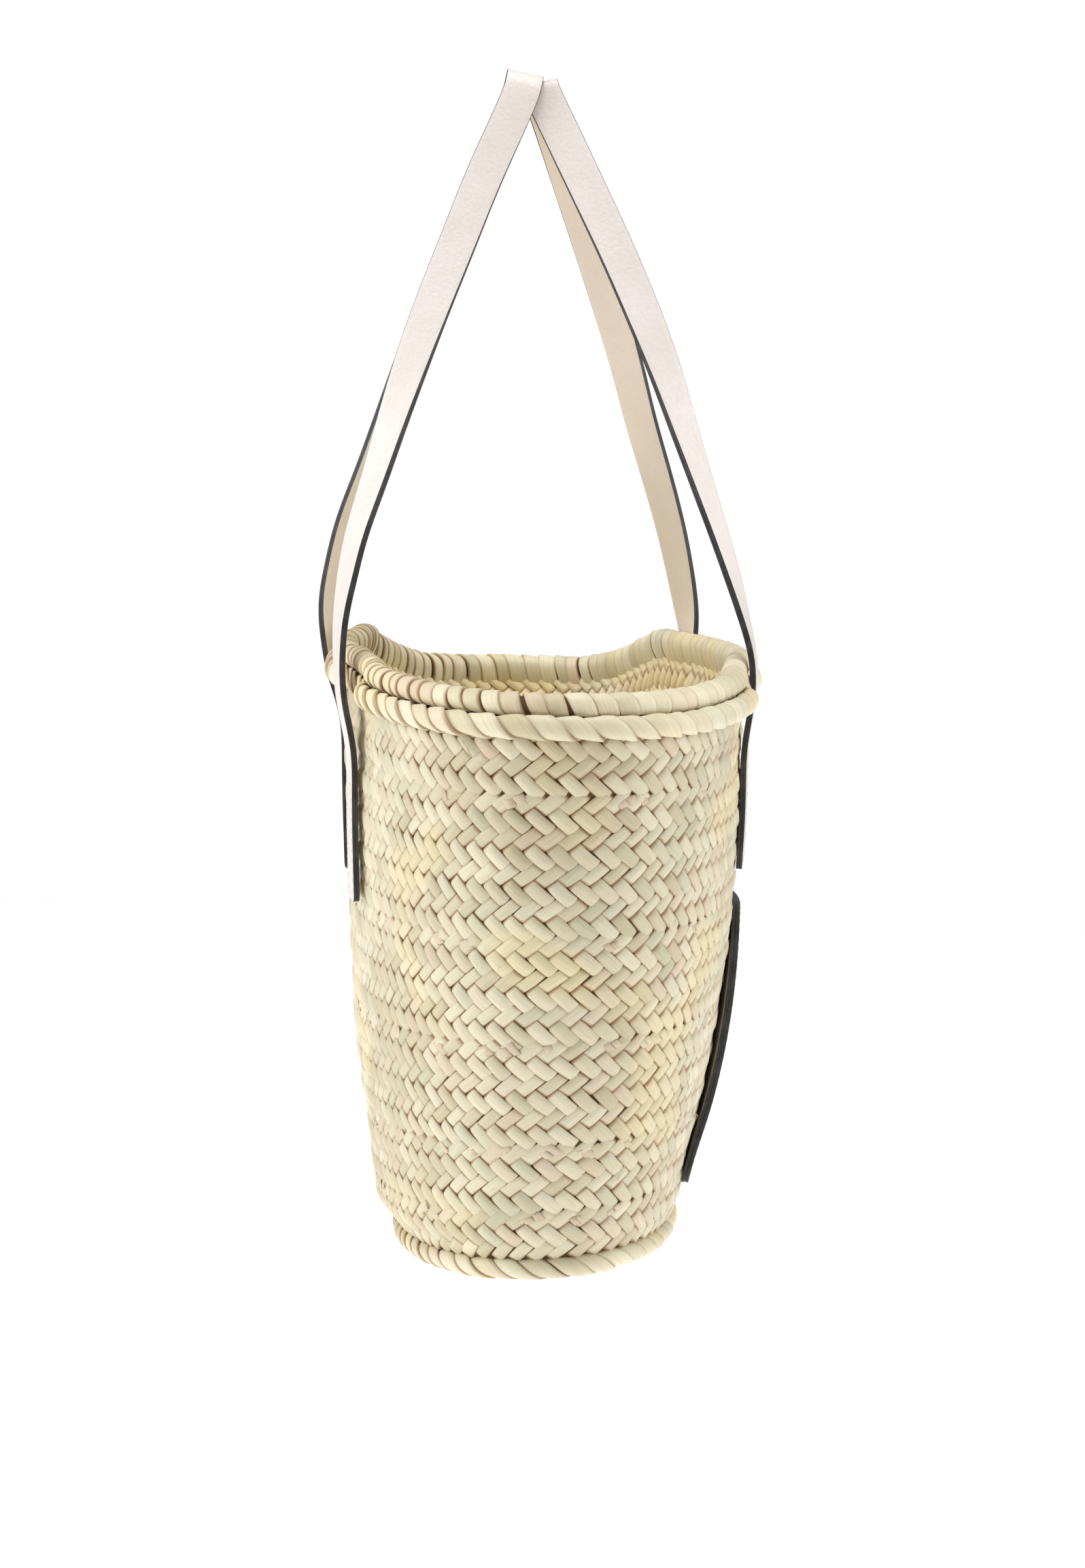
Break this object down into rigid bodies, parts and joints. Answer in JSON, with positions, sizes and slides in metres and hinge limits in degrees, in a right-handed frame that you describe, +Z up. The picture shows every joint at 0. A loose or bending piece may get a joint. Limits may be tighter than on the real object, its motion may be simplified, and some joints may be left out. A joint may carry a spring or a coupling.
{
  "type": "woven palm-leaf shopper bag",
  "caption": "Tapered oval shopper bag plaited in palm leaf, with a rolled rim, a twisted collar and foot, two long leather handles and a bare leather patch.",
  "frame": {"origin": "the point under the folds of the two handles where a hook or hand carries the bag", "axes": "+Z up, X along the bag's long side, the front with the leather patch faces -Y"},
  "size_m": [0.5134, 0.2384, 0.6392],
  "materials": {
    "palm_weave": "dry plaited palm leaf, matte with a faint waxy sheen",
    "palm_edging": "smooth wrapped palm leaf",
    "cream_leather": "pebbled off-white leather with black painted edges",
    "tan_lining": "smooth pale tan leather",
    "dark_backing": "dark painted leather edge"
  },
  "bodies": {
    "root": {"basket_wall": "palm_weave", "base_panel": "palm_weave", "foot_coil": "palm_edging", "rim_roll": "palm_edging", "collar_twist": "palm_edging", "handle_front_leather": "cream_leather", "handle_front_lining": "tan_lining", "handle_back_leather": "cream_leather", "handle_back_lining": "tan_lining", "patch_leather": "cream_leather", "patch_backing": "dark_backing"}
  },
  "joints": []
}
